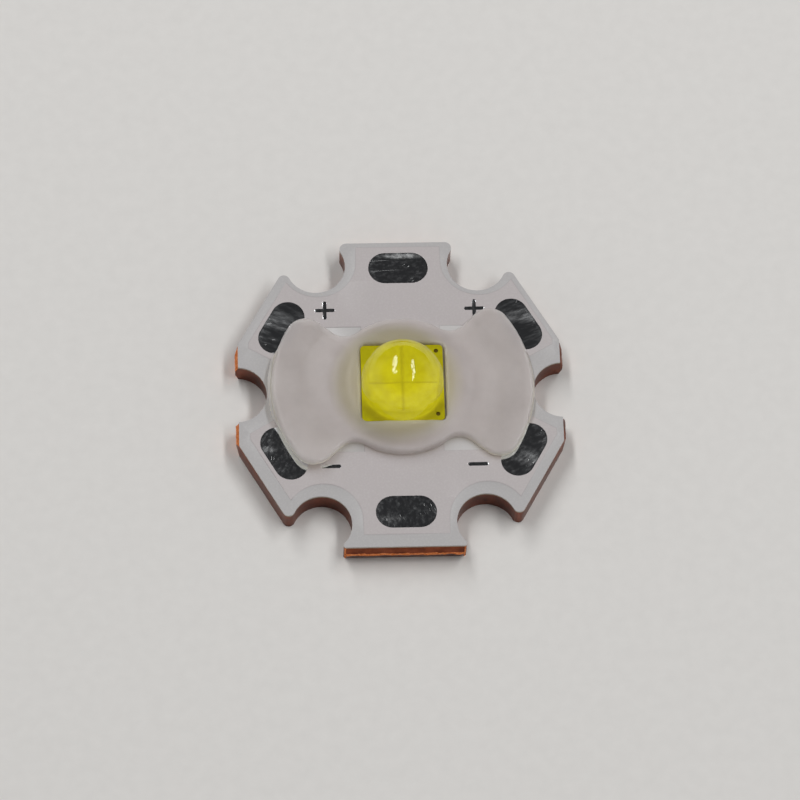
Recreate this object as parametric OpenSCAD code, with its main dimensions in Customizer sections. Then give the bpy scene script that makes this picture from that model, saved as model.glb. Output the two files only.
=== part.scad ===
// High-power LED: a domed four-die emitter soldered to a notched star board with a copper core,
// and a soft insulating gasket around the emitter. Millimetres.
// The origin is the centre of the board's underside, +Z up, +Y towards the positive end.

/* [Board] */
// Thickness of the finished board, solder mask included
board_t = 1.7; // [1.3:0.1:2.4]
// Distance between the two scored ends, across the flats of the star's hexagon
board_l = 20; // [18:0.1:24]
// How much further apart the slanted edges are than the scored ends
slant_over = 0.14; // [0:0.02:0.4]
// How far the scored side tips are cut back from the hexagon's corners
side_trim = 1.83; // [1.5:0.01:2.2]
// Diameter of the screw notches
notch_d = 3.6; // [3.2:0.1:4]
// Distance from a corner of the hexagon to the centre of its screw notch
notch_inset = 1.74; // [1.5:0.01:1.95]
// Radius of the rounded tips between the slanted edges and the notches
slant_tip_r = 0.37; // [0.15:0.01:0.5]
// Radius of the rounded tips of the positive end
positive_tip_r = 0.4; // [0.1:0.01:0.5]
// Radius of the rounded tips of the negative end
negative_tip_r = 0.15; // [0.1:0.01:0.5]
// How far the broken score web stands out of a scored edge
score_out = 0.21; // [0.05:0.01:0.4]
// Thickness of the broken score web
web_t = 0.3; // [0.1:0.05:0.6]

/* [Layers] */
// Thickness of the insulating layer on the copper core
insulator_t = 0.1; // [0.06:0.01:0.2]
// Thickness of the circuit copper
circuit_t = 0.07; // [0.035:0.005:0.14]
// Thickness of the solder mask over the circuit copper
mask_t = 0.04; // [0.02:0.005:0.08]
// How much lower the solder mask lies beside the circuit copper
mask_drop = 0.03; // [0.01:0.005:0.05]
// Width of the solder mask's shoulder around the circuit copper
mask_lap = 0.06; // [0.03:0.01:0.12]

/* [Artwork] */
// Shift of the whole artwork to the right of the board's centre
art_x = 0.12; // [-0.3:0.01:0.3]
// Shift of the whole artwork towards the positive end
art_y = 0.245; // [-0.3:0.005:0.3]
// Distance from the edge of the board to the circuit copper, before the shift
copper_margin = 0.63; // [0.45:0.01:1]
// Distance from the middle of an end pad to the inner edge of its copper area
copper_reach = 3.83; // [3.4:0.01:4.4]
// Length of a solder pad over its round ends
pad_l = 3.63; // [3.2:0.01:4]
// Width of a solder pad
pad_w = 2.04; // [1.5:0.02:2.3]
// Distance from a scored end to the middle of its pad, before the shift
end_pad_inset = 1.97; // [1.75:0.01:2.4]
// Distance from a slanted edge to the middle of its pad, before the shift
side_pad_inset = 1.79; // [1.72:0.01:2.2]
// Copper left around a side pad
pad_margin = 0.26; // [0.1:0.02:0.4]
// How much nearer the plus marks are to the middle line than the notches beside them, before the shift
plus_aside = 0.37; // [0:0.01:0.8]
// How far the plus marks lie below the centres of those notches, before the shift
plus_drop = 3.25; // [3:0.01:3.4]
// How much nearer the minus marks are to the middle line than the notches beside them, before the shift
minus_aside = 0.51; // [0:0.01:0.8]
// How far the minus marks lie above the centres of those notches, before the shift
minus_drop = 3.46; // [3:0.01:3.6]
// Length of a mark's bar over its round ends
mark_l = 1.22; // [0.8:0.02:1.4]
// Width of a mark's bar
mark_w = 0.23; // [0.15:0.01:0.3]

/* [Emitter] */
// Width of the square emitter package
package_w = 4.95; // [4.6:0.05:5.2]
// Corner radius of the package
package_corner_r = 0.25; // [0.1:0.05:0.4]
// Thickness of the ceramic substrate
substrate_t = 0.6; // [0.4:0.05:0.8]
// Thickness of the solder under the package
solder_t = 0.07; // [0.05:0.01:0.15]
// Thickness of the metal contacts under the package
contact_t = 0.03; // [0.02:0.01:0.06]
// Distance from the edge of the package to the contacts
contact_inset = 0.275; // [0.15:0.025:0.45]
// Length of the thermal contact from anode side to cathode side
thermal_l = 2.1; // [1.7:0.1:2.3]
// Gap between the thermal contact and each electrode contact
contact_gap = 0.35; // [0.25:0.05:0.5]
// Copper left around each contact
land_margin = 0.1; // [0.05:0.01:0.11]
// Diameter of the filled holes through the substrate
via_d = 0.3; // [0.2:0.05:0.4]
// Thickness of the metal traces on top of the substrate
trace_t = 0.03; // [0.02:0.01:0.05]
// Gap between neighbouring traces
trace_gap = 0.1; // [0.06:0.02:0.2]
// Width of a square die
die_w = 1.44; // [1.2:0.02:1.5]
// Gap between neighbouring dies
die_gap = 0.1; // [0.05:0.01:0.2]
// Thickness of a die
die_t = 0.12; // [0.08:0.02:0.2]
// Thickness of the phosphor over the dies and around them
phosphor_t = 0.1; // [0.05:0.01:0.2]
// Thickness of the phosphor over the bare substrate
phosphor_edge_t = 0.13; // [0.1:0.01:0.2]
// Diameter of the index dots in the phosphor
dot_d = 0.26; // [0.1:0.02:0.3]
// Depth of the index dots
dot_depth = 0.06; // [0.02:0.01:0.08]
// Distance from the package's edges to the centre of an index dot
dot_inset = 0.4; // [0.34:0.02:0.44]
// Distance from the package's edge to the foot of the dome
dome_inset = 0; // [0:0.01:0.15]
// Height of the dome's straight foot below its hemisphere
dome_foot = 0.36; // [0.15:0.01:0.6]

/* [Gasket] */
// Turn of the gasket around the emitter, in degrees
gasket_turn = 2.5; // [0:0.5:4]
// Smallest gap between the window and the package
window_gap = 0.01; // [0.005:0.005:0.1]
// Corner radius of the window
window_corner_r = 0.4; // [0.3:0.05:0.45]
// Thickness of the gasket's wings
wing_t = 0.45; // [0.3:0.05:0.7]
// Height of the gasket's hub
hub_h = 0.72; // [0.72:0.02:0.9]
// Height of the raised boss around the window, from the underside of the hub
boss_h = 1.04; // [0.92:0.02:1.3]
// Wall left between the window's corners and the outside of the boss
boss_wall = 0.19; // [0.08:0.01:0.3]
// Width of the flat land around the boss
hub_land = 0.74; // [0.5:0.02:0.9]
// Gap from the outer edge of the wings to the walls of the side notches, before the shift
wing_gap = 0.11; // [0:0.01:0.5]
// Half of the width across a wing's lobes
wing_half = 4.88; // [4.6:0.04:5]
// Radius of a wing's lobes
lobe_r = 1.24; // [1:0.04:1.6]
// Slope of a wing's edge between neck and lobe, in degrees
edge_slope = 43; // [39:1:46]
// Radius of the hollow necks between hub and wings
neck_r = 1.1; // [0.6:0.1:1.4]

/* [Hidden] */

// Smoothness of rounds
$fn = 96;
// Overlap that carries each cut cleanly past the face it opens
cut = 1;
// Overlap that makes two touching rounds, or a round and its straight edge, cross cleanly
touch = 0.002;
// Turn of the sides of a notch's open mouth from its middle line
mouth_turn = 35;

// Colours as they look in daylight
copper_colour = "#c98a63";
insulator_colour = "#e6e1d6";
mask_colour = "#ece9e8";
tin_colour = "#8d8f92";
gold_colour = "#d9b36a";
ceramic_colour = "#f1eee6";
die_colour = "#59636e";
phosphor_colour = "#e8d21c";
silicone_colour = "#f4ef9a";
gasket_colour = "#d8d2cc";

// Heights of the board's layers above the underside
circuit_top = board_t - mask_t;
insulator_top = circuit_top - circuit_t;
base_t = insulator_top - insulator_t;
mask_low = board_t - mask_drop;
web_low = (board_t - web_t) / 2;
web_high = (board_t + web_t) / 2;

// Heights of the emitter's layers
contact_z = circuit_top + solder_t;
substrate_z = contact_z + contact_t;
substrate_top = substrate_z + substrate_t;
trace_top = substrate_top + trace_t;
die_top = trace_top + die_t;
phosphor_edge_top = substrate_top + phosphor_edge_t;
phosphor_top = die_top + phosphor_t;
dome_centre_z = phosphor_edge_top + dome_foot;

// Contacts under the package and traces on top of it
contact_w = package_w - 2 * contact_inset;
contact_end = package_w / 2 - contact_inset;
electrode_l = contact_end - thermal_l / 2 - contact_gap;
electrode_y = contact_end - electrode_l / 2;
pedestal_l = thermal_l + 2 * land_margin;
land_w = contact_w + 2 * land_margin;
land_start = contact_end - electrode_l - land_margin;
die_pitch = die_w + die_gap;
array_w = die_pitch + die_w;
trace_w = array_w + 2 * trace_gap;
bridge_l = die_pitch - trace_gap;
outer_trace_l = contact_end - bridge_l / 2 - trace_gap;
outer_trace_y = contact_end - outer_trace_l / 2;
dome_r = package_w / 2 - dome_inset;
dot_place = package_w / 2 - dot_inset;

// The star's hexagon, and the place of a notch along and across the normal of the edge beside it
corner_r = board_l / 2 / cos(30);
board_w = 2 * (corner_r - side_trim);
slant_span = board_l + slant_over;
notch_r = notch_d / 2;
notch_reach = corner_r - notch_inset;
notch_along = notch_reach * cos(30);
notch_across = notch_reach * sin(30);
mouth_ray = board_l * [cos(mouth_turn), sin(mouth_turn)];
end_pad_r = board_l / 2 - end_pad_inset;
side_pad_r = slant_span / 2 - side_pad_inset;
copper_edge = end_pad_r - copper_reach;

// The gasket's window clears the package at its turn, and the hub grows with it
window_w = package_w * (cos(gasket_turn) + sin(gasket_turn)) + 2 * window_gap;
boss_r = (window_w / 2 - window_corner_r) * sqrt(2) + window_corner_r + boss_wall;
hub_r = boss_r + hub_land;

// A quarter of the gasket's outline: a lobe inside the wing's arc, a straight edge, and a neck outside the hub
wing_r = notch_reach - notch_r - wing_gap;
lobe_y = wing_half - lobe_r;
lobe_x = sqrt(pow(wing_r - lobe_r + touch, 2) - pow(lobe_y, 2));
lobe_centre = [lobe_x, lobe_y];
edge_normal = [-sin(edge_slope), cos(edge_slope)];
edge_offset = edge_normal * lobe_centre + lobe_r - touch;
neck_reach = hub_r + neck_r - touch;
neck_turn = edge_slope + asin((edge_offset + neck_r - touch) / neck_reach);
neck_centre = neck_reach * [cos(neck_turn), sin(neck_turn)];
lobe_foot = lobe_centre + (lobe_r - touch) * edge_normal;
neck_foot = neck_centre - (neck_r - touch) * edge_normal;
wing_ray = board_l * [1, lobe_y / lobe_x];

// Flat shapes

module obround(l, w) {
    square([l - w, w], center = true);
    for (side = [-1, 1])
        translate([side * (l - w) / 2, 0])
            circle(d = w);
}

module rounded_square(w, r) {
    square([w, w - 2 * r], center = true);
    square([w - 2 * r, w], center = true);
    for (x = [-1, 1], y = [-1, 1])
        translate([x, y] * (w / 2 - r))
            circle(r = r);
}

module slanted_band(inset) {
    intersection() {
        rotate(30)
            square([slant_span - 2 * inset, 2 * board_l], center = true);
        rotate(150)
            square([slant_span - 2 * inset, 2 * board_l], center = true);
    }
}

// Round notches, open to the outside so that no chip stays behind at a corner
module notches(inset) {
    for (a = [0 : 60 : 300])
        rotate(a)
            translate([notch_reach, 0]) {
                circle(d = notch_d + 2 * inset);
                polygon([[0, 0], [mouth_ray.x, -mouth_ray.y], mouth_ray]);
            }
}

// Rounds the sharp tip where an edge at the given distance runs out into a notch
module tip_cutter(edge, r) {
    along = edge - r;
    across = notch_across - sqrt(pow(notch_r + r - touch, 2) - pow(along - notch_along, 2));
    difference() {
        polygon([[along, across], [notch_along, notch_across], [board_l, notch_across], [board_l, across]]);
        translate([along, across])
            circle(r = r);
    }
}

module tip_cutters() {
    for (x = [0, 1])
        mirror([x, 0]) {
            for (y = [0, 1])
                mirror([0, y])
                    rotate(30)
                        tip_cutter(slant_span / 2, slant_tip_r);
            rotate(90)
                tip_cutter(board_l / 2, positive_tip_r);
            rotate(-90)
                tip_cutter(board_l / 2, negative_tip_r);
        }
}

module star_2d() {
    difference() {
        slanted_band(0);
        notches(0);
        tip_cutters();
    }
}

module board_2d() {
    intersection() {
        square([board_w, board_l], center = true);
        star_2d();
    }
}

// Limit of the circuit copper, drawn about the artwork's own centre; its ends run straight past the notches
module copper_limit_2d(inset) {
    difference() {
        intersection() {
            square([board_w - 2 * inset, board_l - 2 * inset], center = true);
            slanted_band(inset);
        }
        notches(inset);
        for (x = [0, 1], y = [0, 1])
            mirror([x, 0])
                mirror([0, y])
                    translate([notch_across - notch_r - inset + touch, notch_along])
                        square(board_l);
    }
}

// Copper of the positive side, grown all round by the given width
module circuit_2d(grow = 0) {
    intersection() {
        copper_limit_2d(copper_margin - grow);
        union() {
            translate([-board_w, copper_edge - grow])
                square([2 * board_w, board_l]);
            for (a = [30, 150])
                rotate(a)
                    translate([side_pad_r - pad_w / 2 - pad_margin - grow, -pad_l / 2 - pad_margin - grow])
                        square([board_w, pad_l + 2 * (pad_margin + grow)]);
            translate([-land_w / 2 - grow, land_start - grow])
                square([land_w + 2 * grow, copper_edge]);
        }
    }
}

module pedestal_2d(grow = 0) {
    square([land_w + 2 * grow, pedestal_l + 2 * grow], center = true);
}

module copper_2d(grow = 0) {
    circuit_2d(grow);
    mirror([0, 1])
        circuit_2d(grow);
    pedestal_2d(grow);
}

module pad_2d(turn, r) {
    rotate(turn)
        translate([r, 0])
            rotate(90)
                obround(pad_l, pad_w);
}

module plus_2d(side) {
    translate([side * (notch_across - plus_aside), notch_along - plus_drop])
        for (turn = [0, 90])
            rotate(turn)
                obround(mark_l, mark_w);
}

module minus_2d(side) {
    translate([side * (notch_across - minus_aside), minus_drop - notch_along])
        obround(mark_l, mark_w);
}

module electrode_2d(side) {
    translate([0, side * electrode_y])
        square([contact_w, electrode_l], center = true);
}

module thermal_2d() {
    square([contact_w, thermal_l], center = true);
}

module mask_openings_2d() {
    for (a = [90, 270])
        pad_2d(a, end_pad_r);
    for (a = [30, 150, 210, 330])
        pad_2d(a, side_pad_r);
    for (side = [-1, 1]) {
        plus_2d(side);
        minus_2d(side);
        electrode_2d(side);
    }
    thermal_2d();
}

// Placing helpers

module on_artwork(z) {
    translate([art_x, art_y, z])
        children();
}

module layer(z, t) {
    on_artwork(z)
        linear_extrude(t)
            children();
}

// Bar along X whose two long edges were scored from both faces and snapped
module scored_bar(span) {
    half = span / 2;
    ridge = half + score_out;
    rotate([90, 0, 90])
        translate([0, 0, -board_l])
            linear_extrude(2 * board_l)
                polygon([
                    [half, 0], [ridge, web_low], [ridge, web_high], [half, base_t],
                    [-half, base_t], [-ridge, web_high], [-ridge, web_low], [-half, 0]
                ]);
}

// Board

module copper_base() {
    color(copper_colour) {
        intersection() {
            scored_bar(board_l);
            rotate(90)
                scored_bar(board_w);
            linear_extrude(base_t)
                star_2d();
        }
        layer(base_t, insulator_t + circuit_t)
            pedestal_2d();
    }
}

module insulating_layer() {
    color(insulator_colour)
        difference() {
            translate([0, 0, base_t])
                linear_extrude(insulator_t)
                    board_2d();
            layer(base_t - cut, insulator_t + 2 * cut)
                pedestal_2d();
        }
}

module positive_circuit() {
    color(copper_colour)
        layer(insulator_top, circuit_t)
            circuit_2d();
}

module negative_circuit() {
    color(copper_colour)
        layer(insulator_top, circuit_t)
            mirror([0, 1])
                circuit_2d();
}

module solder_mask() {
    color(mask_colour)
        difference() {
            union() {
                translate([0, 0, insulator_top])
                    linear_extrude(mask_low - insulator_top)
                        board_2d();
                layer(insulator_top, board_t - insulator_top)
                    copper_2d(mask_lap);
            }
            layer(insulator_top - cut, circuit_t + cut)
                copper_2d();
            layer(circuit_top - cut, mask_t + 2 * cut)
                mask_openings_2d();
        }
}

module tinned() {
    color(tin_colour)
        layer(circuit_top, mask_t)
            children();
}

module positive_end_pad() {
    tinned()
        pad_2d(90, end_pad_r);
}

module positive_right_pad() {
    tinned()
        pad_2d(30, side_pad_r);
}

module positive_left_pad() {
    tinned()
        pad_2d(150, side_pad_r);
}

module negative_end_pad() {
    tinned()
        pad_2d(270, end_pad_r);
}

module negative_right_pad() {
    tinned()
        pad_2d(330, side_pad_r);
}

module negative_left_pad() {
    tinned()
        pad_2d(210, side_pad_r);
}

module plus_mark_right() {
    tinned()
        plus_2d(1);
}

module plus_mark_left() {
    tinned()
        plus_2d(-1);
}

module minus_mark_right() {
    tinned()
        minus_2d(1);
}

module minus_mark_left() {
    tinned()
        minus_2d(-1);
}

// Emitter

module solder_joint() {
    color(tin_colour)
        layer(circuit_top, solder_t)
            children();
}

module anode_solder() {
    solder_joint()
        electrode_2d(1);
}

module thermal_solder() {
    solder_joint()
        thermal_2d();
}

module cathode_solder() {
    solder_joint()
        electrode_2d(-1);
}

module contact() {
    color(gold_colour)
        layer(contact_z, contact_t)
            children();
}

module anode_contact() {
    contact()
        electrode_2d(1);
}

module thermal_contact() {
    contact()
        thermal_2d();
}

module cathode_contact() {
    contact()
        electrode_2d(-1);
}

module via_2d(side) {
    translate([0, side * electrode_y])
        circle(d = via_d);
}

module ceramic_substrate() {
    color(ceramic_colour)
        layer(substrate_z, substrate_t)
            difference() {
                rounded_square(package_w, package_corner_r);
                via_2d(1);
                via_2d(-1);
            }
}

module via(side) {
    color(gold_colour)
        layer(substrate_z, substrate_t)
            via_2d(side);
}

module anode_via() {
    via(1);
}

module cathode_via() {
    via(-1);
}

module outer_trace_2d(side) {
    translate([0, side * outer_trace_y])
        square([trace_w, outer_trace_l], center = true);
}

module bridge_trace_2d() {
    square([trace_w, bridge_l], center = true);
}

module trace() {
    color(gold_colour)
        layer(substrate_top, trace_t)
            children();
}

module anode_trace() {
    trace()
        outer_trace_2d(1);
}

module bridge_trace() {
    trace()
        bridge_trace_2d();
}

module cathode_trace() {
    trace()
        outer_trace_2d(-1);
}

module die_2d(column, row) {
    translate([column, row] * die_pitch / 2)
        square(die_w, center = true);
}

module die(column, row) {
    color(die_colour)
        layer(trace_top, die_t)
            die_2d(column, row);
}

module led_die_1() {
    die(-1, 1);
}

module led_die_2() {
    die(1, 1);
}

module led_die_3() {
    die(-1, -1);
}

module led_die_4() {
    die(1, -1);
}

// Phosphor's raised part over the dies, grown sideways by its own thickness
module phosphor_crown_2d() {
    square(array_w + 2 * phosphor_t, center = true);
}

module phosphor_layer() {
    color(phosphor_colour)
        difference() {
            union() {
                layer(substrate_top, phosphor_edge_t)
                    rounded_square(package_w, package_corner_r);
                layer(substrate_top, phosphor_top - substrate_top)
                    phosphor_crown_2d();
            }
            layer(substrate_top - cut, trace_t + cut) {
                outer_trace_2d(1);
                bridge_trace_2d();
                outer_trace_2d(-1);
            }
            for (column = [-1, 1], row = [-1, 1])
                layer(substrate_top, trace_t + die_t)
                    die_2d(column, row);
            for (side = [-1, 1])
                layer(phosphor_edge_top - dot_depth, dot_depth + cut)
                    translate([dot_place, side * dot_place])
                        circle(d = dot_d);
        }
}

module lens_dome() {
    color(silicone_colour)
        difference() {
            on_artwork(dome_centre_z)
                rotate_extrude() {
                    translate([0, -dome_foot])
                        square([dome_r, dome_foot]);
                    intersection() {
                        circle(r = dome_r);
                        square(dome_r);
                    }
                }
            layer(phosphor_edge_top - cut, phosphor_top - phosphor_edge_top + cut)
                phosphor_crown_2d();
        }
}

// Gasket

module gasket_2d() {
    circle(r = hub_r);
    for (x = [0, 1])
        mirror([x, 0]) {
            intersection() {
                circle(r = wing_r);
                polygon([[0, 0], [wing_ray.x, -wing_ray.y], wing_ray]);
            }
            for (y = [0, 1])
                mirror([0, y]) {
                    translate(lobe_centre)
                        circle(r = lobe_r);
                    difference() {
                        polygon([[0, 0], [lobe_x, lobe_y / 2], lobe_centre, lobe_foot, neck_foot, neck_centre]);
                        translate(neck_centre)
                            circle(r = neck_r);
                    }
                }
        }
}

module gasket() {
    color(gasket_colour)
        on_artwork(board_t)
            rotate(gasket_turn)
                difference() {
                    union() {
                        linear_extrude(wing_t)
                            gasket_2d();
                        cylinder(r = hub_r, h = hub_h);
                        cylinder(r = boss_r, h = boss_h);
                    }
                    translate([0, 0, -cut])
                        linear_extrude(boss_h + 2 * cut)
                            rounded_square(window_w, window_corner_r);
                }
}

copper_base();
insulating_layer();
positive_circuit();
negative_circuit();
solder_mask();
positive_end_pad();
positive_right_pad();
positive_left_pad();
negative_end_pad();
negative_right_pad();
negative_left_pad();
plus_mark_right();
plus_mark_left();
minus_mark_right();
minus_mark_left();
anode_solder();
thermal_solder();
cathode_solder();
anode_contact();
thermal_contact();
cathode_contact();
ceramic_substrate();
anode_via();
cathode_via();
anode_trace();
bridge_trace();
cathode_trace();
led_die_1();
led_die_2();
led_die_3();
led_die_4();
phosphor_layer();
lens_dome();
gasket();
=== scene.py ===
"""High-power LED on a notched star board, dressed around its CAD frame for a studio picture."""
import math

import bmesh
import bpy
from mathutils import Matrix, Vector, kdtree, noise


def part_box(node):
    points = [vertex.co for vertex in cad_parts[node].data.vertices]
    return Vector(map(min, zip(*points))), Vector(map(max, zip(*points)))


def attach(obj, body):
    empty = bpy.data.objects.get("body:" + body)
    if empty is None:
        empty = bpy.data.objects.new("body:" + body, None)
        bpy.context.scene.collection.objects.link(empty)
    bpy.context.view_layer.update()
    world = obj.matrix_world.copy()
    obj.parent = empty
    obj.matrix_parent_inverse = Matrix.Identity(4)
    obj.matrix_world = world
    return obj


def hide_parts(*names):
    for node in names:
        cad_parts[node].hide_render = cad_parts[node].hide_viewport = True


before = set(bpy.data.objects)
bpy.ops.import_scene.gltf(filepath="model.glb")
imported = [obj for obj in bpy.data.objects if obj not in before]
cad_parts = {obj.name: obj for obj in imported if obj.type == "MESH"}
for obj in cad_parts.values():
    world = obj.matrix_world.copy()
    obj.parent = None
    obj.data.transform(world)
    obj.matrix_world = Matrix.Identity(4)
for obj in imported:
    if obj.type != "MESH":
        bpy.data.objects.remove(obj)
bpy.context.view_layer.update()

MM = 0.001


def box_mm(node):
    """A CAD node's lowest and highest corners, in millimetres."""
    return [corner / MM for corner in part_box(node)]


# Sizes read from the frame, in millimetres

BOARD_TOP = box_mm("solder_mask")[1].z
CORE_REACH = box_mm("copper_base")[1]
PACKAGE_LOW, PACKAGE_HIGH = box_mm("ceramic_substrate")
PACKAGE_HALF = (PACKAGE_HIGH.x - PACKAGE_LOW.x) / 2
EMITTER = (PACKAGE_LOW + PACKAGE_HIGH) / 2
EMITTER.z = 0
DIES_HIGH = box_mm("led_die_2")[1]
PHOSPHOR_TOP = box_mm("phosphor_layer")[1].z
# The phosphor's crown covers the dies as thickly on their sides as on top
CROWN_HALF = DIES_HIGH.x - EMITTER.x + PHOSPHOR_TOP - DIES_HIGH.z
DOME_LOW, DOME_HIGH = box_mm("lens_dome")
PHOSPHOR_EDGE_TOP = DOME_LOW.z
DOME_R = (DOME_HIGH.x - DOME_LOW.x) / 2
DOME_CENTRE_Z = DOME_HIGH.z - DOME_R
BOSS_TOP = box_mm("gasket")[1].z

# Sizes of the solids that no box gives, in millimetres and degrees

MASK_DROP = 0.03
WEB_T = 0.3
DOT_INSET = 0.4
DOT_R = 0.13
WING_T = 0.45
HUB_T = 0.72
WINDOW_HALF = 2.59
GASKET_TURN = 2.5

MASK_LOW = BOARD_TOP - MASK_DROP
WEB_LOW = (BOARD_TOP - WEB_T) / 2
WEB_HIGH = (BOARD_TOP + WEB_T) / 2
DOT_PLACE = PACKAGE_HALF - DOT_INSET
WING_TOP = BOARD_TOP + WING_T
HUB_TOP = BOARD_TOP + HUB_T

# A face whose normal rises more than this faces up
UPWARD = 0.9


# Helpers


def linear(hex_colour):
    """An sRGB hex colour as linear RGBA."""
    parts = [int(hex_colour[i:i + 2], 16) / 255 for i in (1, 3, 5)]
    return [c / 12.92 if c <= 0.04045 else ((c + 0.055) / 1.055) ** 2.4 for c in parts] + [1.0]


def add(tree, kind, sockets=None, **settings):
    """Adds a node with its settings. A socket, by its place or its name among those in use, takes a value,
    a link from another node's output, or a node, whose first output in use is linked."""
    new = tree.nodes.new("ShaderNode" + kind)
    for name, value in settings.items():
        setattr(new, name, value)
    used = [socket for socket in new.inputs if socket.enabled]
    for key, value in (sockets or {}).items():
        into = used[key] if isinstance(key, int) else next(s for s in used if s.name == key)
        if isinstance(value, bpy.types.Node):
            value = next(s for s in value.outputs if s.enabled)
        if isinstance(value, bpy.types.NodeSocket):
            tree.links.new(value, into)
        else:
            into.default_value = value
    return new


def start_material(name):
    """An empty node material, its node tree, and its Object coordinates in metres."""
    material = bpy.data.materials.new(name)
    material.use_nodes = True
    tree = material.node_tree
    tree.nodes.clear()
    return material, tree, add(tree, "TexCoord").outputs["Object"]


def per_mm(size):
    """Scale, in periods per metre, of a pattern whose features are about this many millimetres wide."""
    return 1 / (size * MM)


def mottle(tree, place, size, dark, light, span=(0.3, 0.7), **sockets):
    """Noise with features this many millimetres wide, and the colour that it shades from dark to light."""
    pattern = add(tree, "TexNoise", {"Vector": place, "Scale": per_mm(size), **sockets})
    share = add(tree, "MapRange", {"Value": pattern, "From Min": span[0], "From Max": span[1]})
    colour = add(tree, "Mix", {"Factor": share, "A": linear(dark), "B": linear(light)}, data_type="RGBA")
    return pattern, colour


def near(first, second):
    """True where two lengths in millimetres are equal but for rounding."""
    return abs(first - second) < 0.002


def soft_step(x, low, high):
    """0 below low, 1 above high, and a smooth rise between them."""
    t = min(max((x - low) / (high - low), 0), 1)
    return t * t * (3 - 2 * t)


def in_scene(name, data):
    """A new object of this data, linked to the scene."""
    thing = bpy.data.objects.new(name, data)
    bpy.context.scene.collection.objects.link(thing)
    return thing


def cad_copy(name):
    """A merged copy of a CAD node's mesh, in millimetres."""
    bm = bmesh.new()
    bm.from_mesh(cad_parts[name].data)
    bmesh.ops.remove_doubles(bm, verts=bm.verts, dist=1e-7)
    bmesh.ops.scale(bm, vec=(1 / MM, 1 / MM, 1 / MM), verts=bm.verts)
    return bm


def flatten_facets(bm):
    """Joins the triangles of each flat face."""
    bmesh.ops.dissolve_limit(bm, angle_limit=math.radians(0.5), verts=bm.verts, edges=bm.edges)


def split_large_faces(bm, least_rise=-1):
    """Splits each face of more than four corners, or only those that face up enough, into triangles."""
    large = [f for f in bm.faces if len(f.verts) > 4 and f.normal.z >= least_rise]
    bmesh.ops.triangulate(bm, faces=large)


def smooth(bm, times):
    """Smooths a whole mesh, so many times."""
    for _ in range(times):
        bmesh.ops.smooth_vert(
            bm, verts=bm.verts, factor=0.5, use_axis_x=True, use_axis_y=True, use_axis_z=True)


def finish_piece(name, bm, materials, replaced, sharp):
    """Makes a piece of a mesh in millimetres, in place of its CAD node.
    Sharp is the angle, in degrees, from which an edge looks hard."""
    bmesh.ops.scale(bm, vec=(MM, MM, MM), verts=bm.verts)
    mesh = bpy.data.meshes.new(name)
    bm.to_mesh(mesh)
    bm.free()
    for material in materials:
        mesh.materials.append(material)
    mesh.polygons.foreach_set("use_smooth", [True] * len(mesh.polygons))
    mesh.set_sharp_from_angle(angle=math.radians(sharp))
    piece = in_scene(name, mesh)
    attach(piece, "root")
    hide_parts(replaced)


# Materials

# The grain of etched, plated, fired, filled and cast surfaces is too fine to show in a picture, so it is
# drawn as coarse as it needs to be to show


def copper_routed():
    """Copper core plate, routed: red-brown metal, darkened partly by tarnish and partly as painted shade,
    with fine upright cutter marks on its walls.
    """
    material, tree, place = start_material("copper_routed")
    upright = add(tree, "Mapping", {"Vector": place, "Scale": (1, 1, 0.12)})
    cuts = add(tree, "TexNoise", {"Vector": upright, "Scale": per_mm(0.05), "Detail": 2})
    # Painted shade: these red-browns are darker than bare copper, partly tarnish and partly shade painted in
    tarnish_and_shade, colour = mottle(tree, place, 0.9, "#613120", "#8a4930", (0.35, 0.65), Detail=4, Roughness=0.6)
    streak = add(tree, "MapRange", {"Value": cuts, "From Min": 0.4, "From Max": 0.75, "To Max": 0.22})
    streaked = add(tree, "Mix", {"Factor": streak, "A": colour, "B": linear("#44200f")}, data_type="RGBA")
    rough = add(tree, "MapRange", {"Value": tarnish_and_shade, "To Min": 0.26, "To Max": 0.44})
    bump = add(tree, "Bump", {"Height": cuts, "Strength": 0.35, "Distance": 0.02 * MM})
    shader = add(tree, "BsdfPrincipled", {
        "Base Color": streaked, "Metallic": 1, "Roughness": rough, "Normal": bump})
    add(tree, "OutputMaterial", {"Surface": shader})
    return material


def copper_torn_and_highlit():
    """Copper torn where the board was snapped off: fresh, bright and rough. Over the left tips it is a
    painted highlight.
    """
    material, tree, place = start_material("copper_torn_and_highlit")
    grain, colour = mottle(tree, place, 0.12, "#c8641f", "#ffb478", (0.35, 0.68), Detail=5, Roughness=0.65)
    bump = add(tree, "Bump", {"Height": grain, "Strength": 0.5, "Distance": 0.03 * MM})
    shader = add(tree, "BsdfPrincipled", {
        "Base Color": colour, "Metallic": 1, "Roughness": 0.68, "Normal": bump})
    add(tree, "OutputMaterial", {"Surface": shader})
    return material


def copper_foil():
    """Etched circuit copper under the mask: pink-orange, even, with a fine etched tooth."""
    material, tree, place = start_material("copper_foil")
    tooth, colour = mottle(tree, place, 0.08, "#b4704e", "#cf8d68", Detail=3)
    bump = add(tree, "Bump", {"Height": tooth, "Strength": 0.3, "Distance": 0.01 * MM})
    shader = add(tree, "BsdfPrincipled", {
        "Base Color": colour, "Metallic": 1, "Roughness": 0.4, "Normal": bump})
    add(tree, "OutputMaterial", {"Surface": shader})
    return material


def filled_resin():
    """Ceramic-filled resin of the insulating layer, pressed: a thin chalky cream line at the board's edge."""
    material, tree, place = start_material("filled_resin_pressed")
    _, colour = mottle(tree, place, 0.06, "#8f7f6c", "#b9ab97", Detail=4)
    shader = add(tree, "BsdfPrincipled", {"Base Color": colour, "Roughness": 0.7, "IOR": 1.5})
    add(tree, "OutputMaterial", {"Surface": shader})
    return material


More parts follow.
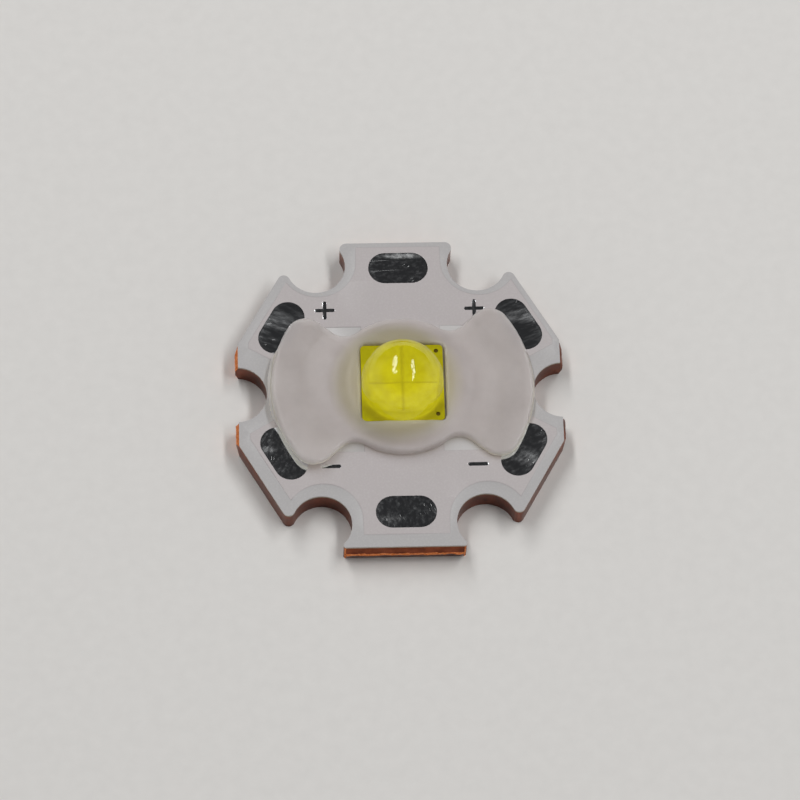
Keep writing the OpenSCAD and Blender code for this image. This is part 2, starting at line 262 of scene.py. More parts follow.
def white_ink():
    """White solder mask, screened and baked: a semi-gloss skin, pinkish over the circuit copper and cooler
    beside it, where it pales towards the middle, with a thin line where it runs down over the copper's
    edge."""
    margin = 0.006
    outer, inner = 7, 5.8
    material, tree, place = start_material("solder_mask_white_baked")
    height = add(tree, "SeparateXYZ", {"Vector": place}).outputs["Z"]
    over_copper = add(tree, "MapRange", {
        "Value": height, "From Min": (MASK_LOW + margin) * MM, "From Max": (BOARD_TOP - margin) * MM})
    flat = add(tree, "VectorMath", {0: place, 1: (1, 1, 0)}, operation="MULTIPLY")
    reach = add(tree, "VectorMath", {0: flat}, operation="LENGTH")
    inside = add(tree, "MapRange", {"Value": reach, "From Min": outer * MM, "From Max": inner * MM})
    beside = add(tree, "Mix", {
        "Factor": inside, "A": linear("#b4b2b2"), "B": linear("#c8c6c5")}, data_type="RGBA")
    field = add(tree, "Mix", {"Factor": over_copper, "A": beside, "B": linear("#bcb5b5")}, data_type="RGBA")
    cloud = add(tree, "TexNoise", {"Vector": place, "Scale": per_mm(2.5), "Detail": 3})
    cloudy = add(tree, "MapRange", {"Value": cloud, "From Min": 0.3, "From Max": 0.7, "To Max": 0.22})
    toned = add(tree, "Mix", {"Factor": cloudy, "A": field, "B": linear("#aeaaa9")}, data_type="RGBA")
    speckle = add(tree, "TexNoise", {"Vector": place, "Scale": per_mm(0.12), "Detail": 2})
    fleck = add(tree, "MapRange", {"Value": speckle, "From Min": 0.45, "From Max": 0.8, "To Max": 0.25})
    flecked = add(tree, "Mix", {"Factor": fleck, "A": toned, "B": linear("#d2cfce")}, data_type="RGBA")
    step = add(tree, "Attribute", attribute_name="step").outputs["Fac"]
    line = add(tree, "MapRange", {"Value": step, "To Max": 0.3})
    lined = add(tree, "Mix", {"Factor": line, "A": flecked, "B": linear("#9a9394")}, data_type="RGBA")
    rough = add(tree, "MapRange", {"Value": cloud, "To Min": 0.34, "To Max": 0.5})
    bump = add(tree, "Bump", {"Height": speckle, "Strength": 0.12, "Distance": 0.01 * MM})
    shader = add(tree, "BsdfPrincipled", {
        "Base Color": lined, "Roughness": rough, "IOR": 1.5, "Normal": bump})
    add(tree, "OutputMaterial", {"Surface": shader})
    return material


def bright_tin(name, turn, brush, smear, nick_from=0.6):
    """Hot-air levelled tin: a dark mirror with a low ripple, dulled in clouds and along one rubbed smear,
    with short bright nicks and a few hair-fine scratches. Turn is the scratches' angle in degrees. Brush is
    how many times their width the clouds are drawn out along it. Smear is a centre and half sizes in
    millimetres, and a strength. Nicks are rarer from a higher nick_from."""
    material, tree, place = start_material(name)

    def marks(angle, stretch, pitch, thin, rare, bright):
        """Thin marks at an angle, this many millimetres apart, in the few cells that are rare enough."""
        along = add(tree, "Mapping", {
            "Vector": place, "Rotation": (0, 0, math.radians(angle)), "Scale": (stretch, 1, 1)},
            vector_type="TEXTURE")
        cells = add(tree, "TexVoronoi", {"Vector": along, "Scale": per_mm(pitch)}, voronoi_dimensions="2D")
        close = add(tree, "MapRange", {"Value": cells, "From Min": thin, "From Max": thin * 0.5})
        chosen = add(tree, "SeparateColor", {"Color": cells.outputs["Color"]})
        some = add(tree, "MapRange", {
            "Value": chosen, "From Min": rare, "From Max": rare + 0.3, "To Max": bright})
        return add(tree, "Math", {0: close, 1: some}, operation="MULTIPLY")

    nicks = marks(turn + 25, 16, pitch=0.15, thin=0.06, rare=nick_from, bright=0.7)
    scratches = marks(turn, 80, pitch=0.5, thin=0.028, rare=0.62, bright=0.4)
    x, y, half_length, half_width, strength = smear
    patch = add(tree, "Mapping", {
        "Vector": place, "Location": (x * MM, y * MM, 0), "Scale": (half_length * MM, half_width * MM, 1)},
        vector_type="TEXTURE")
    patch_flat = add(tree, "VectorMath", {0: patch, 1: (1, 1, 0)}, operation="MULTIPLY")
    patch_reach = add(tree, "VectorMath", {0: patch_flat}, operation="LENGTH")
    rub = add(tree, "MapRange", {"Value": patch_reach, "From Min": 1.2, "From Max": 0.5, "To Max": strength})
    brushed = add(tree, "Mapping", {
        "Vector": place, "Rotation": (0, 0, math.radians(turn)), "Scale": (brush, 1, 1)},
        vector_type="TEXTURE")
    cloud = add(tree, "TexNoise", {
        "Vector": brushed, "Scale": per_mm(0.25), "Detail": 5, "Roughness": 0.7})
    lifted = add(tree, "Math", {0: cloud, 1: rub}, operation="ADD")
    haze = add(tree, "MapRange", {"Value": lifted, "From Min": 0.46, "From Max": 1.05, "To Max": 0.5})
    nicked = add(tree, "Math", {0: haze, 1: nicks}, operation="MAXIMUM")
    worn = add(tree, "Math", {0: nicked, 1: scratches}, operation="MAXIMUM")
    colour = add(tree, "Mix", {
        "Factor": worn, "A": linear("#d7d9db"), "B": linear("#eeefee")}, data_type="RGBA")
    rough = add(tree, "MapRange", {"Value": worn, "To Min": 0.1, "To Max": 0.55})
    ripple = add(tree, "TexNoise", {"Vector": place, "Scale": per_mm(0.7), "Detail": 2})
    bump = add(tree, "Bump", {"Height": ripple, "Strength": 0.2, "Distance": 0.02 * MM})
    shader = add(tree, "BsdfPrincipled", {
        "Base Color": colour, "Metallic": 1, "Roughness": rough, "Normal": bump})
    add(tree, "OutputMaterial", {"Surface": shader})
    return material


def solder_reflowed():
    """Reflowed solder under the package: satin grey with a fine grain."""
    material, tree, place = start_material("solder_reflowed")
    _, colour = mottle(tree, place, 0.15, "#8d9095", "#b4b6b8", Detail=3)
    shader = add(tree, "BsdfPrincipled", {"Base Color": colour, "Metallic": 1, "Roughness": 0.35})
    add(tree, "OutputMaterial", {"Surface": shader})
    return material


def gold_plated():
    """Thin gold plating on the package's contacts and traces: warm, satin, finely grained."""
    material, tree, place = start_material("gold_plated")
    _, colour = mottle(tree, place, 0.05, "#c79a4e", "#e2bd74", Detail=3)
    shader = add(tree, "BsdfPrincipled", {"Base Color": colour, "Metallic": 1, "Roughness": 0.3})
    add(tree, "OutputMaterial", {"Surface": shader})
    return material


def alumina():
    """White fired ceramic of the package: matt, fine-grained, with a painted yellow glow along its top edge
    from the phosphor's light.
    """
    yellow_glow_low, yellow_glow_high = PACKAGE_HIGH.z - 0.46, PACKAGE_HIGH.z - 0.16
    material, tree, place = start_material("alumina_fired")
    grain, fired = mottle(tree, place, 0.08, "#b9b39a", "#d8d3bd", Detail=4)
    height = add(tree, "SeparateXYZ", {"Vector": place}).outputs["Z"]
    # Painted light: the top edge is tinted yellow-olive as if lit by the phosphor's yellow light
    yellow_glow = add(tree, "MapRange", {
        "Value": height, "From Min": yellow_glow_low * MM, "From Max": yellow_glow_high * MM, "To Max": 0.85})
    colour = add(tree, "Mix", {"Factor": yellow_glow, "A": fired, "B": linear("#a0961a")}, data_type="RGBA")
    bump = add(tree, "Bump", {"Height": grain, "Strength": 0.2, "Distance": 0.01 * MM})
    shader = add(tree, "BsdfPrincipled", {
        "Base Color": colour, "Roughness": 0.6, "IOR": 1.76, "Normal": bump})
    add(tree, "OutputMaterial", {"Surface": shader})
    return material


def die_polished():
    """Polished semiconductor die: dark blue-grey and glossy, with a thin uneven film."""
    material, tree, place = start_material("die_polished")
    _, colour = mottle(tree, place, 0.5, "#3d4650", "#6a7682", (0, 1), Detail=2)
    shader = add(tree, "BsdfPrincipled", {"Base Color": colour, "Roughness": 0.15, "IOR": 2.4})
    add(tree, "OutputMaterial", {"Surface": shader})
    return material


def phosphor_cast():
    """Yellow phosphor cast in silicone: a strong matt yellow with faint clouds, darker in its grooves, and
    with a painted shadow of the dome just past the near side of its foot."""
    foot_from, foot_to = DOME_R - 0.075, DOME_R + 0.125
    corner_from, corner_to = 3.2, 2.8
    front_from, front_to = -0.9, -1.6
    material, tree, place = start_material("phosphor_cast")
    _, colour = mottle(tree, place, 0.5, "#a29a00", "#afa704", (0.35, 0.65), Detail=4, Roughness=0.6)
    groove = add(tree, "Attribute", attribute_name="groove").outputs["Fac"]
    depth = add(tree, "MapRange", {"Value": groove, "To Max": 0.5})
    lined = add(tree, "Mix", {"Factor": depth, "A": colour, "B": linear("#7d7502")}, data_type="RGBA")
    axis = (-EMITTER.x * MM, -EMITTER.y * MM, 0)
    centred = add(tree, "Mapping", {"Vector": place, "Location": axis, "Scale": (1, 1, 0)})
    reach = add(tree, "VectorMath", {0: centred}, operation="LENGTH")
    # Painted shadow of the dome: darker olive past its foot on the near side, fading out towards the corners
    past_dome = add(tree, "MapRange", {
        "Value": reach, "From Min": foot_from * MM, "From Max": foot_to * MM, "To Max": 0.5})
    corner = add(tree, "MapRange", {"Value": reach, "From Min": corner_from * MM, "From Max": corner_to * MM})
    toward = add(tree, "SeparateXYZ", {"Vector": centred}).outputs["Y"]
    front = add(tree, "MapRange", {"Value": toward, "From Min": front_from * MM, "From Max": front_to * MM})
    thin = add(tree, "Math", {0: past_dome, 1: front}, operation="MULTIPLY")
    dome_shade = add(tree, "Math", {0: thin, 1: corner}, operation="MULTIPLY")
    dome_shaded = add(tree, "Mix", {"Factor": dome_shade, "A": lined, "B": linear("#756900")}, data_type="RGBA")
    grain = add(tree, "TexNoise", {"Vector": place, "Scale": per_mm(0.06), "Detail": 2})
    bump = add(tree, "Bump", {"Height": grain, "Strength": 0.2, "Distance": 0.01 * MM})
    shader = add(tree, "BsdfPrincipled", {
        "Base Color": dome_shaded, "Roughness": 0.6, "IOR": 1.45, "Specular IOR Level": 0.1, "Normal": bump})
    add(tree, "OutputMaterial", {"Surface": shader})
    return material


def trace_bare():
    """Bare trace that shows in the index dots: dark and dull."""
    material, tree, place = start_material("trace_bare")
    _, colour = mottle(tree, place, 0.05, "#463806", "#5f4e0a", (0, 1), Detail=3)
    shader = add(tree, "BsdfPrincipled", {
        "Base Color": colour, "Roughness": 0.5, "IOR": 1.45, "Specular IOR Level": 0.1})
    add(tree, "OutputMaterial", {"Surface": shader})
    return material


def silicone_clear():
    """Clear cast silicone of the dome: glassy, with a slightly uneven skin, and lamps shine through it."""
    material, tree, place = start_material("silicone_clear_cast")
    skin = add(tree, "TexNoise", {"Vector": place, "Scale": per_mm(0.3), "Detail": 3})
    bump = add(tree, "Bump", {"Height": skin, "Strength": 0.15, "Distance": 0.02 * MM})
    shader = add(tree, "BsdfPrincipled", {
        "Base Color": linear("#fffef2"), "Roughness": 0.03, "IOR": 1.41, "Transmission Weight": 1,
        "Normal": bump})
    clear = add(tree, "BsdfTransparent", {"Color": linear("#fffef4")})
    shadow = add(tree, "LightPath").outputs["Is Shadow Ray"]
    mixed = add(tree, "MixShader", {0: shadow, 1: shader, 2: clear})
    add(tree, "OutputMaterial", {"Surface": mixed})
    return material


def silicone_milky():
    """Milky moulded silicone of the gasket: soft and cloudy, with light that glows through it. Near the
    emitter, a little more on its left, it has a painted olive glow of the yellow light there, weaker on
    either side, and the low edges of its lifted lobes have a painted pale glow."""
    yellow_light_aside = 0.35
    yellow_light_from, yellow_light_to = 4.3, 3.1
    side_from, side_to = 1.9, 2.6
    material, tree, place = start_material("silicone_milky_moulded")
    cloud, milk = mottle(tree, place, 1.8, "#b4acaa", "#beb6b4", Detail=3)
    axis = ((yellow_light_aside - EMITTER.x) * MM, -EMITTER.y * MM, 0)
    centred = add(tree, "Mapping", {"Vector": place, "Location": axis, "Scale": (1, 1, 0)})
    reach = add(tree, "VectorMath", {0: centred}, operation="LENGTH")
    # Painted light: an olive glow of the emitter's yellow light, centred a little to its left and weaker on
    # either side
    yellow_light = add(tree, "MapRange", {
        "Value": reach, "From Min": yellow_light_from * MM, "From Max": yellow_light_to * MM},
        interpolation_type="SMOOTHSTEP")
    across = add(tree, "SeparateXYZ", {"Vector": centred}).outputs["X"]
    sideways = add(tree, "Math", {0: across}, operation="ABSOLUTE")
    beside = add(tree, "MapRange", {"Value": sideways, "From Min": side_from * MM, "From Max": side_to * MM})
    olive_light = add(tree, "Mix", {
        "Factor": beside, "A": linear("#9f9781"), "B": linear("#aca38e")}, data_type="RGBA")
    yellow_lit = add(tree, "Mix", {"Factor": yellow_light, "A": milk, "B": olive_light}, data_type="RGBA")
    # Painted glow: pale cream on the low edges of the lifted lobes
    painted_glow = add(tree, "Attribute", attribute_name="painted_glow").outputs["Fac"]
    colour = add(tree, "Mix", {"Factor": painted_glow, "A": yellow_lit, "B": linear("#e6dcc4")}, data_type="RGBA")
    rough = add(tree, "MapRange", {"Value": cloud, "To Min": 0.36, "To Max": 0.5})
    bump = add(tree, "Bump", {"Height": cloud, "Strength": 0.2, "Distance": 0.05 * MM})
    shader = add(tree, "BsdfPrincipled", {
        "Base Color": colour, "Roughness": rough, "IOR": 1.41, "Normal": bump,
        "Subsurface Weight": 1, "Subsurface Radius": (1, 1, 1), "Subsurface Scale": 2.6 * MM})
    clear = add(tree, "BsdfTransparent", {"Color": linear("#f6f1e8")})
    thin = add(tree, "MixShader", {0: 0.6, 1: shader, 2: clear})
    shadow = add(tree, "LightPath").outputs["Is Shadow Ray"]
    mixed = add(tree, "MixShader", {0: shadow, 1: shader, 2: thin})
    add(tree, "OutputMaterial", {"Surface": mixed})
    return material


def paper_pale():
    """Pale matt paper of the floor, with a faint fibre."""
    material, tree, place = start_material("paper_pale")
    _, colour = mottle(tree, place, 0.8, "#dedcd9", "#e6e4e1", (0, 1), Detail=3)
    shader = add(tree, "BsdfPrincipled", {"Base Color": colour, "Roughness": 0.9, "IOR": 1.4})
    add(tree, "OutputMaterial", {"Surface": shader})
    return material


# Pieces


def build_copper_base():
    """The core plate, with the webs of its snapped sides torn and uneven, and its left tips covered all over
    in bright torn copper as a painted highlight.
    """
    strip = 0.25
    long_edge = 0.8
    tear_step = 0.11
    tear_depth = {0: 0.03, 1: 0.05}
    tear_swing = {0: 0.04, 1: 0.07}
    tear_pitches = (2.2, 7.0)
    tear_waver, waver_pitch, waver_start = 0.05, 3.5, Vector((7, 3, 1))
    margin = 0.01
    tip_length = 1
    # The left tips take the bright torn copper over most of their height, as a painted highlight
    highlit_tip_spread, web_spread = 0.7, 0.12
    steep = 0.7
    bm = cad_copy("copper_base")
    flatten_facets(bm)

    def in_strip(place, axis):
        """True in the scored strip at either end of an axis."""
        return abs(place[axis]) > CORE_REACH[axis] - strip

    def runs_along(edge, axis):
        """True for a long level edge that runs along the snapped side at either end of an axis."""
        start, end = (v.co for v in edge.verts)
        run = 1 - axis
        level = near(start.z, end.z) and abs(start[run] - end[run]) > long_edge
        return level and in_strip(start, axis) and in_strip(end, axis)

    for axis in (0, 1):
        scored = [e for e in bm.edges if runs_along(e, axis)]
        for length in sorted({round(e.calc_length(), 3) for e in scored}):
            same = [e for e in scored if e.is_valid and near(e.calc_length(), length)]
            bmesh.ops.subdivide_edges(bm, edges=same, cuts=int(length / tear_step), use_grid_fill=True)
    for v in bm.verts:
        for axis in (0, 1):
            on_web = WEB_LOW - margin < v.co.z < WEB_HIGH + margin
            if on_web and abs(v.co[axis]) > CORE_REACH[axis] - margin:
                tear = sum(noise.noise(v.co * pitch) for pitch in tear_pitches) / len(tear_pitches)
                v.co[axis] -= math.copysign(tear_depth[axis] + tear_swing[axis] * tear, v.co[axis])
                v.co.z += tear_waver * noise.noise(v.co * waver_pitch + waver_start)
    bm.normal_update()
    for f in bm.faces:
        middle = f.calc_center_median()
        # On the left tips the bright copper is a painted highlight
        spread = highlit_tip_spread if middle.x < tip_length - CORE_REACH.x else web_spread
        snapped = any(in_strip(middle, axis) and abs(f.normal[axis]) > steep for axis in (0, 1))
        f.material_index = int(snapped and WEB_LOW - spread < middle.z < WEB_HIGH + spread)
    split_large_faces(bm)
    finish_piece("star_core", bm, [copper_routed(), copper_torn_and_highlit()], "copper_base", sharp=28)


def build_mask():
    """The white mask, which runs down softly where it leaves the circuit copper."""
    run_down = 0.07
    wall_rise = 0.1
    bm = cad_copy("solder_mask")
    step = bm.faces.layers.float.new("step")
    foot_normals = {}
    for f in bm.faces:
        heights = [v.co.z for v in f.verts]
        upright = abs(f.normal.z) <= wall_rise
        if upright and near(max(heights), BOARD_TOP) and near(min(heights), MASK_LOW):
            f[step] = 1
            for v in f.verts:
                if near(v.co.z, MASK_LOW):
                    foot_normals.setdefault(v, []).append(f.normal.copy())
    for v, normals in foot_normals.items():
        sideways = sum(normals, Vector())
        sideways.z = 0
        v.co += sideways.normalized() * run_down
    finish_piece("white_mask", bm, [white_ink()], "solder_mask", sharp=15)


def swell_top(bm, rings):
    """Raises a top face towards its middle, in rings that each have a width and a rise."""
    top = [f for f in bm.faces if f.normal.z > UPWARD]
    for width, rise in rings:
        bmesh.ops.inset_region(bm, faces=top, thickness=width, depth=rise, use_even_offset=True)
    split_large_faces(bm, UPWARD)


def build_pad(node, turn, brush, smear):
    """A tinned pad that swells a little above its opening, with an uneven skin."""
    rings = (
        (0.05, 0.002), (0.07, 0.005), (0.1, 0.006), (0.14, 0.006), (0.18, 0.005), (0.2, 0.003), (0.2, 0.001))
    long_edge = 0.9
    skin_low = BOARD_TOP - 0.005
    skin_swing, skin_pitch = 0.008, 1.1
    bm = cad_copy(node)
    flatten_facets(bm)
    straight = [e for e in bm.edges if e.calc_length() > long_edge and near(e.verts[0].co.z, e.verts[1].co.z)]
    bmesh.ops.subdivide_edges(bm, edges=straight, cuts=9)
    swell_top(bm, rings)
    for v in bm.verts:
        if v.co.z > skin_low:
            v.co.z += skin_swing * noise.noise(v.co * skin_pitch + Vector((turn, 0, 0)))
    tin = bright_tin("tin_levelled_" + node, turn, brush, smear)
    finish_piece("tinned_" + node, bm, [tin], node, sharp=50)


def build_mark(node, tin):
    """A tinned polarity mark, rounded across like a bead of tin."""
    rings = ((0.02, 0.004), (0.035, 0.003), (0.03, 0.001), (0.02, 0))
    bm = cad_copy(node)
    flatten_facets(bm)
    swell_top(bm, rings)
    finish_piece("tinned_" + node, bm, [tin], node, sharp=60)


def crown_faces(bm):
    """The faces on top of the phosphor's crown."""
    return [f for f in bm.faces if f.normal.z > UPWARD and near(f.calc_center_median().z, PHOSPHOR_TOP)]


def build_phosphor():
    """The phosphor over the package's top: its crown over the dies has a softened edge, a sloped flank and
    a pressed cross over the gaps between the dies, and the insides of its two index dots are bare."""
    edge_rings = (0.08, 0.07)
    groove_half = {0: 0.11, 1: 0.06}
    groove_depth = 0.02
    groove_end = CROWN_HALF - 0.14
    rim_drop, shoulder_drop = 0.02, 0.006
    rim_from, shoulder_from = CROWN_HALF - 0.01, CROWN_HALF - 0.09
    flank_run = 0.3
    dot_low, dot_high = PHOSPHOR_EDGE_TOP - 0.09, PHOSPHOR_EDGE_TOP - 0.01
    dot_margin = 0.01
    bm = cad_copy("phosphor_layer")
    flatten_facets(bm)
    crown = crown_faces(bm)
    for width in edge_rings:
        bmesh.ops.inset_region(bm, faces=crown, thickness=width, use_even_offset=True)
    for axis in (0, 1):
        normal = Vector((1 - axis, axis, 0))
        for offset in (-groove_half[axis], 0, groove_half[axis]):
            crown = crown_faces(bm)
            around = {e for f in crown for e in f.edges} | {v for f in crown for v in f.verts}
            bmesh.ops.bisect_plane(
                bm, geom=crown + list(around), dist=1e-6, plane_co=EMITTER + normal * offset, plane_no=normal)
    groove = bm.verts.layers.float.new("groove")
    for v in bm.verts:
        place = v.co - EMITTER
        reach = max(abs(place.x), abs(place.y))
        if near(v.co.z, PHOSPHOR_TOP):
            if near(min(abs(place.x), abs(place.y)), 0) and reach < groove_end:
                v[groove] = 1
                v.co.z -= groove_depth
            if reach > rim_from:
                v[groove] = 0.4
                v.co.z -= rim_drop
            elif reach > shoulder_from:
                v.co.z -= shoulder_drop
        elif near(v.co.z, PHOSPHOR_EDGE_TOP) and near(reach, CROWN_HALF):
            for axis in (0, 1):
                if near(abs(place[axis]), CROWN_HALF):
                    v.co[axis] += math.copysign(flank_run, place[axis])
    for f in bm.faces:
        middle = f.calc_center_median()
        for side in (-1, 1):
            dot = EMITTER + Vector((DOT_PLACE, side * DOT_PLACE, middle.z))
            if (middle - dot).length < DOT_R + dot_margin and dot_low < middle.z < dot_high:
                f.material_index = 1
    split_large_faces(bm)
    finish_piece(
        "phosphor_cast", bm, [phosphor_cast(), trace_bare()], "phosphor_layer", sharp=15)


def build_dome():
    """The clear dome, spun round the emitter's axis, with an uneven cap. Its foot sinks into the phosphor,
    so that no air is between."""
    foot_sink = 0.03
    foot_taper = 0.01
    foot_rises = (0.02, 0.11, 0.21, 0.29)
    rings, turns = 96, 192
    side_span, cap_span = (0, 0.4), (DOME_R - 0.375, DOME_R - 0.095)
    foot_z = PHOSPHOR_EDGE_TOP - foot_sink
    profile = [Vector((0, 0, foot_z)), Vector((DOME_R - foot_taper, 0, foot_z))]
    profile += [Vector((DOME_R, 0, PHOSPHOR_EDGE_TOP + rise)) for rise in foot_rises]
    for i in range(rings + 1):
        angle = math.pi / 2 * i / rings
        profile.append(Vector((DOME_R * math.cos(angle), 0, DOME_CENTRE_Z + DOME_R * math.sin(angle))))
    profile[-1].x = 0
    bm = bmesh.new()
    corners = [bm.verts.new(point) for point in profile]
    edges = [bm.edges.new(pair) for pair in zip(corners, corners[1:])]
    bmesh.ops.spin(
        bm, geom=corners + edges, cent=(0, 0, 0), axis=(0, 0, 1), angle=math.tau, steps=turns, use_merge=True)
    bmesh.ops.remove_doubles(bm, verts=bm.verts, dist=1e-5)
    bmesh.ops.recalc_face_normals(bm, faces=bm.faces)
    centre = Vector((0, 0, DOME_CENTRE_Z))

    def dents(place, depth, pitch):
        """How deep a field of shallow dents is at a place."""
        return depth * (1 + noise.noise(place * pitch))

    for v in bm.verts:
        rise = v.co.z - DOME_CENTRE_Z
        if rise > 0:
            broad = dents(v.co, depth=0.006, pitch=1.2)
            fine = dents(v.co, depth=0.004, pitch=2.6) + dents(v.co, depth=0.005, pitch=6.5)
            dent = broad * soft_step(rise, *side_span) + fine * soft_step(rise, *cap_span)
            v.co -= (v.co - centre).normalized() * dent
    bmesh.ops.translate(bm, vec=EMITTER, verts=bm.verts)
    finish_piece("clear_dome", bm, [silicone_clear()], "lens_dome", sharp=60)


# Spans over which the soft gasket changes, in millimetres from the emitter's axis

HUB_EDGE = (4.2, 6.2)
BOSS_EDGE = (3.0, 4.35)
ROLLED_END = (5.0, 5.8)
WING_END = (6.4, 7.3)
WING_MIDDLE = (1.8, 3.0)
LOBE_RISE = (4.4, 7.2)


def gasket_blank():
    """The gasket's solid, cut down to the height of its wings and remeshed into small even faces."""
    voxel = 0.06
    blank = bpy.data.meshes.new("gasket_blank")
    bm = cad_copy("gasket")
    for v in bm.verts:
        v.co.z = min(v.co.z, WING_TOP)
    bm.to_mesh(blank)
    bm.free()
    carrier = in_scene("gasket_blank", blank)
    remesh = carrier.modifiers.new("voxels", "REMESH")
    remesh.mode = "VOXEL"
    remesh.voxel_size = voxel
    evaluated = carrier.evaluated_get(bpy.context.evaluated_depsgraph_get())
    bm = bmesh.new()
    bm.from_mesh(evaluated.to_mesh())
    evaluated.to_mesh_clear()
    bpy.data.objects.remove(carrier)
    bpy.data.meshes.remove(blank)
    smooth(bm, 6)
    bm.normal_update()
    return bm


def gasket_height(reach):
    """Height over the board so far from the emitter's axis, where wing, hub and boss run into each other."""
    hub = (HUB_TOP - WING_TOP) * (1 - soft_step(reach, *HUB_EDGE))
    boss = (BOSS_TOP - HUB_TOP) * (1 - soft_step(reach, *BOSS_EDGE))
    return WING_T + hub + boss


def gasket_lip(place, inward):
    """Share of its height that the gasket keeps so far inward from its outline. The left wing's end is
    rounder and lower."""
    roll = soft_step(-place.x, *ROLLED_END) * (1 - soft_step(place.y, *WING_MIDDLE))
    edge_share = 0.62 - 0.22 * roll
    round_width = 0.16 + 0.22 * roll
    rounded = math.sqrt(1 - (1 - min(inward / round_width, 1)) ** 2)
    crowned = 0.94 + 0.06 * soft_step(inward, 0.25, 0.75)
    return (edge_share + (1 - edge_share) * rounded) * crowned


def gasket_run_out(place):
    """How far the gasket's foot runs out over the board at the ends of its wings."""
    furthest = 0.26 if place.x < 0 else 0.12
    return furthest * soft_step(abs(place.x), *WING_END) * (1 - soft_step(abs(place.y), *WING_MIDDLE))


def gasket_lift(place):
    """How far the gasket's near lobes stand off the board."""
    lobes = ((Vector((-5.6, -3.6)), 0.42), (Vector((5.6, -3.9)), 0.12))
    return sum(most * soft_step(place.xy.dot(lobe.normalized()), *LOBE_RISE) for lobe, most in lobes)


def build_gasket():
    """The soft gasket: its outline and heights run together as moulded silicone does, with rounded edges,
    its window pressed square round the package, and near lobes that stand off the board, with a painted
    glow along their low edges."""
    clearance = 0.004
    # The pressed window is this much of the solid's, and sits this far aside
    pressed = Vector((0.9797, 0.969))
    pressed_aside = Vector((0.0375, 0.01))
    pressed_width = 0.5
    foot_width = 0.1
    glow_lift = 0.1
    rim_from = 0.4
    wall_rise = 0.5
    least_outward = 0.3
    bm = gasket_blank()
    painted_glow = bm.verts.layers.float.new("painted_glow")
    turn_back = Matrix.Rotation(math.radians(-GASKET_TURN), 3, "Z")
    from_window = {}
    for v in bm.verts:
        place = turn_back @ (v.co - EMITTER)
        from_window[v] = max(abs(place.x), abs(place.y)) - WINDOW_HALF
    rim = [v for v in bm.verts if from_window[v] > rim_from and abs(v.normal.z) < wall_rise]
    outline = kdtree.KDTree(len(rim))
    for i, v in enumerate(rim):
        outline.insert((v.co.x, v.co.y, 0), i)
    outline.balance()
    for v in bm.verts:
        place = v.co - EMITTER
        inward = outline.find((v.co.x, v.co.y, 0))[2]
        share = (v.co.z - BOARD_TOP) / WING_T
        height = gasket_height(place.xy.length) * gasket_lip(place, inward)
        outward = Vector((v.normal.x, v.normal.y, 0))
        if inward < foot_width and outward.length > least_outward:
            place += outward.normalized() * gasket_run_out(place) * (1 - soft_step(share, 0, 0.6))
        lift = gasket_lift(place)
        low_edge = (1 - soft_step(inward, 0.05, 0.3)) * (1 - soft_step(share, 0.7, 1))
        # Painted glow on the low edges of the lifted lobes, full from this lift
        v[painted_glow] = min(lift / glow_lift, 1) * low_edge
        v.co.z = BOARD_TOP + clearance + height * max(share, 0) + lift
        fitted = (turn_back @ place).xy * pressed + pressed_aside
        hold = 1 - soft_step(from_window[v], 0, pressed_width)
        v.co.xy = EMITTER.xy + place.xy.lerp(fitted, hold)
    smooth(bm, 2)
    finish_piece("soft_gasket", bm, [silicone_milky()], "gasket", sharp=80)


# Camera, floor and light


def aim_camera():
    """The camera at the photograph's angle."""
    distance = 247.05
    aim_below, aim_left = 0.487, 0.0163
    azimuth, elevation, roll = (math.radians(turn) for turn in (-5.5563, 65.7825, 4.1033))
    camera = in_scene("camera", bpy.data.cameras.new("camera"))
    camera.data.sensor_width = 36
    camera.data.lens = 185.08
    level_back = Vector((math.sin(azimuth), -math.cos(azimuth), 0))
    back = level_back * math.cos(elevation) + Vector((0, 0, math.sin(elevation)))
    level_right = Vector((0, 0, 1)).cross(back).normalized()
    level_up = back.cross(level_right)
    right = level_right * math.cos(roll) + level_up * math.sin(roll)
    up = level_up * math.cos(roll) - level_right * math.sin(roll)
    aim = Vector((0, 0, BOARD_TOP)) - up * aim_below - right * aim_left
    turned = Matrix((right, up, back)).transposed().to_4x4()
    camera.matrix_world = Matrix.Translation((aim + back * distance) * MM) @ turned
    bpy.context.scene.camera = camera


def lay_floor():
    """A sheet of pale paper eight metres wide, a hair below the board."""
    half_width = 4
    drop = 0.002
    bm = bmesh.new()
    bmesh.ops.create_grid(bm, x_segments=1, y_segments=1, size=half_width)
    bmesh.ops.translate(bm, vec=(0, 0, -drop * MM), verts=bm.verts)
    mesh = bpy.data.meshes.new("floor")
    bm.to_mesh(mesh)
    bm.free()
    mesh.materials.append(paper_pale())
    floor = in_scene("floor", mesh)


def hang_strips():
    """Two long strip lamps half a metre overhead, which give the dome its two highlights."""
    distance = 0.5
    strips = {"strip_left": ((-0.346, 0.435, 0.828), 1.18), "strip_right": ((0.458, 0.105, 0.884), 1.2)}
    for name, (direction, watts) in strips.items():
        light = bpy.data.lights.new(name, "AREA")
        light.shape = "RECTANGLE"
        light.size = 0.06
        light.size_y = 0.52
        light.energy = watts
        away = Vector(direction).normalized()
        across = Vector((0, 1, 0)).cross(away).normalized()
        turned = Matrix((across, away.cross(across), away)).transposed().to_4x4()
        in_scene(name, light).matrix_world = Matrix.Translation(away * distance) @ turned


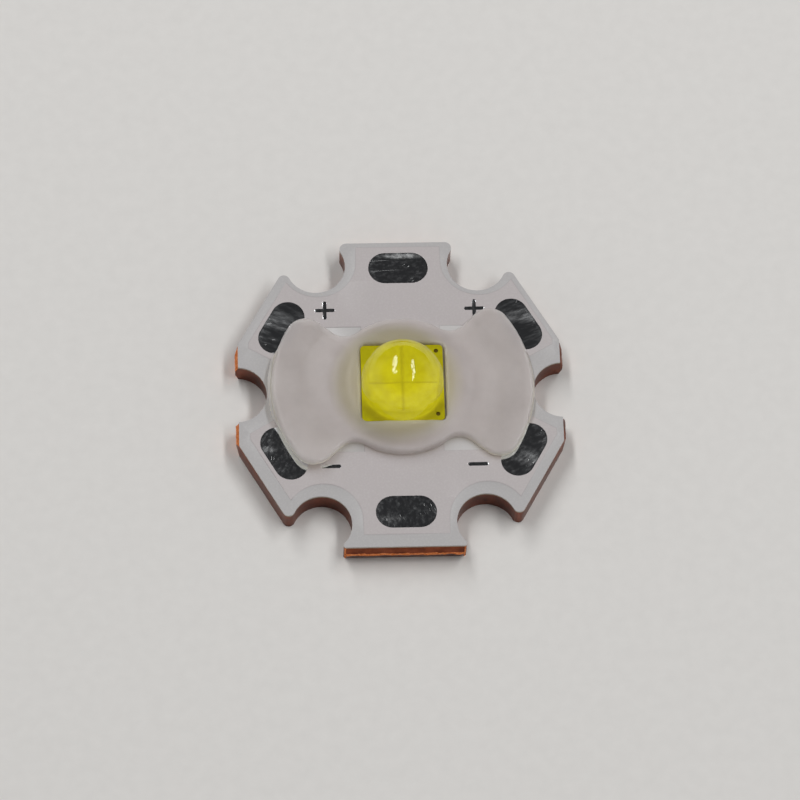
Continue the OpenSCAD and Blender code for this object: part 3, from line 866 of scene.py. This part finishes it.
def surround():
    """A room with pale walls, a dim ceiling and a dim far wall; the camera sees a pale backdrop instead."""
    pale, dim = linear("#d2d1cf"), linear("#2c2c2d")
    world = bpy.data.worlds.new("studio")
    world.use_nodes = True
    tree = world.node_tree
    tree.nodes.clear()
    looking = add(tree, "SeparateXYZ", {"Vector": add(tree, "TexCoord").outputs["Generated"]})
    ceiling = add(tree, "MapRange", {
        "Value": looking.outputs["Z"], "From Min": 0.2, "From Max": 0.68}, interpolation_type="SMOOTHSTEP")
    far_wall = add(tree, "MapRange", {
        "Value": looking.outputs["Y"], "From Min": 0.3, "From Max": 0.8}, interpolation_type="SMOOTHSTEP")
    dimmed = add(tree, "Math", {0: ceiling, 1: far_wall}, operation="MAXIMUM")
    room = add(tree, "Mix", {"Factor": dimmed, "A": pale, "B": dim}, data_type="RGBA")
    seen = add(tree, "LightPath").outputs["Is Camera Ray"]
    backdrop = add(tree, "Mix", {"Factor": seen, "A": room, "B": pale}, data_type="RGBA")
    sky = add(tree, "Background", {"Color": backdrop, "Strength": 1})
    add(tree, "OutputWorld", {"Surface": sky})
    bpy.context.scene.world = world


aim_camera()
lay_floor()
hang_strips()
surround()
bpy.context.scene.view_settings.view_transform = "Standard"

# The object

# Of each pad: the turn of its scratches, how far its clouds are brushed out, and its smear
PADS = {
    "positive_end_pad": (3, 1.5, (0.36, 9.08, 1.4, 0.22, 0.42)),
    "positive_right_pad": (20, 4, (7.2, 4.9, 1.2, 0.5, 0.2)),
    "positive_left_pad": (-20, 4, (-7.0, 4.8, 1.2, 0.7, 0.15)),
    "negative_end_pad": (88, 1.2, (-0.8, -8.3, 0.8, 0.4, 0.15)),
    "negative_right_pad": (35, 2, (7.4, -4.4, 0.9, 0.5, 0.2)),
    "negative_left_pad": (60, 1.5, (-7.9, -3.6, 0.5, 0.25, 0.2)),
}
MARKS = ("plus_mark_right", "plus_mark_left", "minus_mark_right", "minus_mark_left")
NO_SMEAR = (0, 0, 1, 1, 0)

# The solids that keep their CAD meshes, by finish
FINISHES = {
    copper_foil: ("positive_circuit", "negative_circuit"),
    filled_resin: ("insulating_layer",),
    solder_reflowed: ("anode_solder", "thermal_solder", "cathode_solder"),
    gold_plated: (
        "anode_contact", "thermal_contact", "cathode_contact", "anode_via", "cathode_via",
        "anode_trace", "bridge_trace", "cathode_trace"),
    alumina: ("ceramic_substrate",),
    die_polished: ("led_die_1", "led_die_2", "led_die_3", "led_die_4"),
}

build_copper_base()
build_mask()
for pad, (scratch_turn, brush_length, pad_smear) in PADS.items():
    build_pad(pad, scratch_turn, brush_length, pad_smear)
mark_tin = bright_tin("tin_levelled_marks", 90, 2, NO_SMEAR, nick_from=1)
for mark in MARKS:
    build_mark(mark, mark_tin)
build_phosphor()
build_dome()
build_gasket()
for make_finish, solids in FINISHES.items():
    finish = make_finish()
    for solid in solids:
        for material_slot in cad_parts[solid].material_slots:
            material_slot.material = finish
